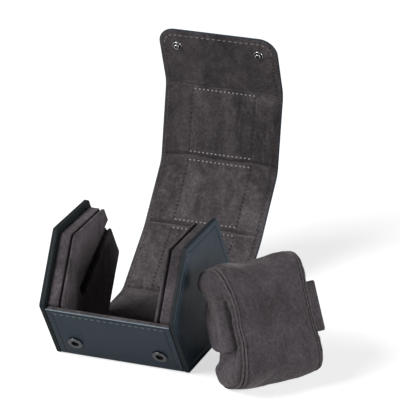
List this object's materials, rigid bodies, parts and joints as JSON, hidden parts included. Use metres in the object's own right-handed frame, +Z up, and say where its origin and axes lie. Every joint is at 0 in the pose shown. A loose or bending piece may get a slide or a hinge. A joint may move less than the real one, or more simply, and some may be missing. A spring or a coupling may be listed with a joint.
{
  "type": "watch travel case",
  "caption": "Hexagonal travel case for one wristwatch, with a hinged wrap-round flap closed by snaps and a removable cushion.",
  "frame": {"origin": "middle of the case's flat bottom face, on the surface it stands on", "axes": "+X along the prism to the right end plate, +Y to the rear where the flap starts, +Z up"},
  "size_m": [0.1874, 0.2253, 0.175],
  "materials": {
    "outer_leather": "matte grained leather",
    "suede": "soft brushed nap",
    "stiff_board": "raw",
    "foam": "closed-cell foam",
    "snap_metal": "dark nickel"
  },
  "bodies": {
    "case": {"left_end_leather": "outer_leather", "left_end_board": "stiff_board", "left_pad_foam": "foam", "left_pad_suede": "suede", "left_pad_face": "suede", "right_end_leather": "outer_leather", "right_end_board": "stiff_board", "right_pad_foam": "foam", "right_pad_suede": "suede", "right_pad_face": "suede", "front_leather": "outer_leather", "front_board": "stiff_board", "front_lining": "suede", "bottom_leather": "outer_leather", "bottom_board": "stiff_board", "bottom_lining": "suede", "snap_sockets": "snap_metal", "socket_rivets": "snap_metal", "socket_springs": "snap_metal"},
    "flap_panel_1": {"panel_1_leather": "outer_leather", "panel_1_board": "stiff_board", "panel_1_lining": "suede"},
    "flap_panel_2": {"panel_2_leather": "outer_leather", "panel_2_board": "stiff_board", "panel_2_lining": "suede"},
    "flap_panel_3": {"panel_3_leather": "outer_leather", "panel_3_board": "stiff_board", "panel_3_lining": "suede"},
    "flap_panel_4": {"panel_4_leather": "outer_leather", "panel_4_board": "stiff_board", "panel_4_lining": "suede"},
    "closing_tab": {"tab_leather": "outer_leather", "tab_stiffener": "stiff_board", "tab_lining": "suede", "snap_studs": "snap_metal", "stud_caps": "snap_metal"},
    "cushion": {"cushion_cover": "suede", "cushion_core": "foam", "left_key_board": "suede", "right_key_board": "suede"}
  },
  "joints": [
    {"name": "rear_fold", "type": "hinge", "parent": "case", "child": "flap_panel_1", "pos_m": [0, 0.02621, 0.0005], "axis": [1, 0, 0], "range_deg": [-1.2, 58.8]},
    {"name": "lower_fold", "type": "hinge", "parent": "flap_panel_1", "child": "flap_panel_2", "pos_m": [0, 0.07862, 0.0016], "axis": [1, 0, 0], "range_deg": [-36.5, 23.5]},
    {"name": "top_rear_fold", "type": "hinge", "parent": "flap_panel_2", "child": "flap_panel_3", "pos_m": [0, 0.1201, 0.03366], "axis": [1, 0, 0], "range_deg": [-10.8, 49.2]},
    {"name": "top_front_fold", "type": "hinge", "parent": "flap_panel_3", "child": "flap_panel_4", "pos_m": [0, 0.15484, 0.07292], "axis": [1, 0, 0], "range_deg": [-29.7, 30.3]},
    {"name": "tab_fold", "type": "hinge", "parent": "flap_panel_4", "child": "closing_tab", "pos_m": [0, 0.16664, 0.12943], "axis": [1, 0, 0], "range_deg": [-27.5, 30.1]},
    {"name": "cushion_lift", "type": "slide", "parent": "case", "child": "cushion", "axis": [0, 0, 1], "range_m": [0, 0.12]}
  ]
}
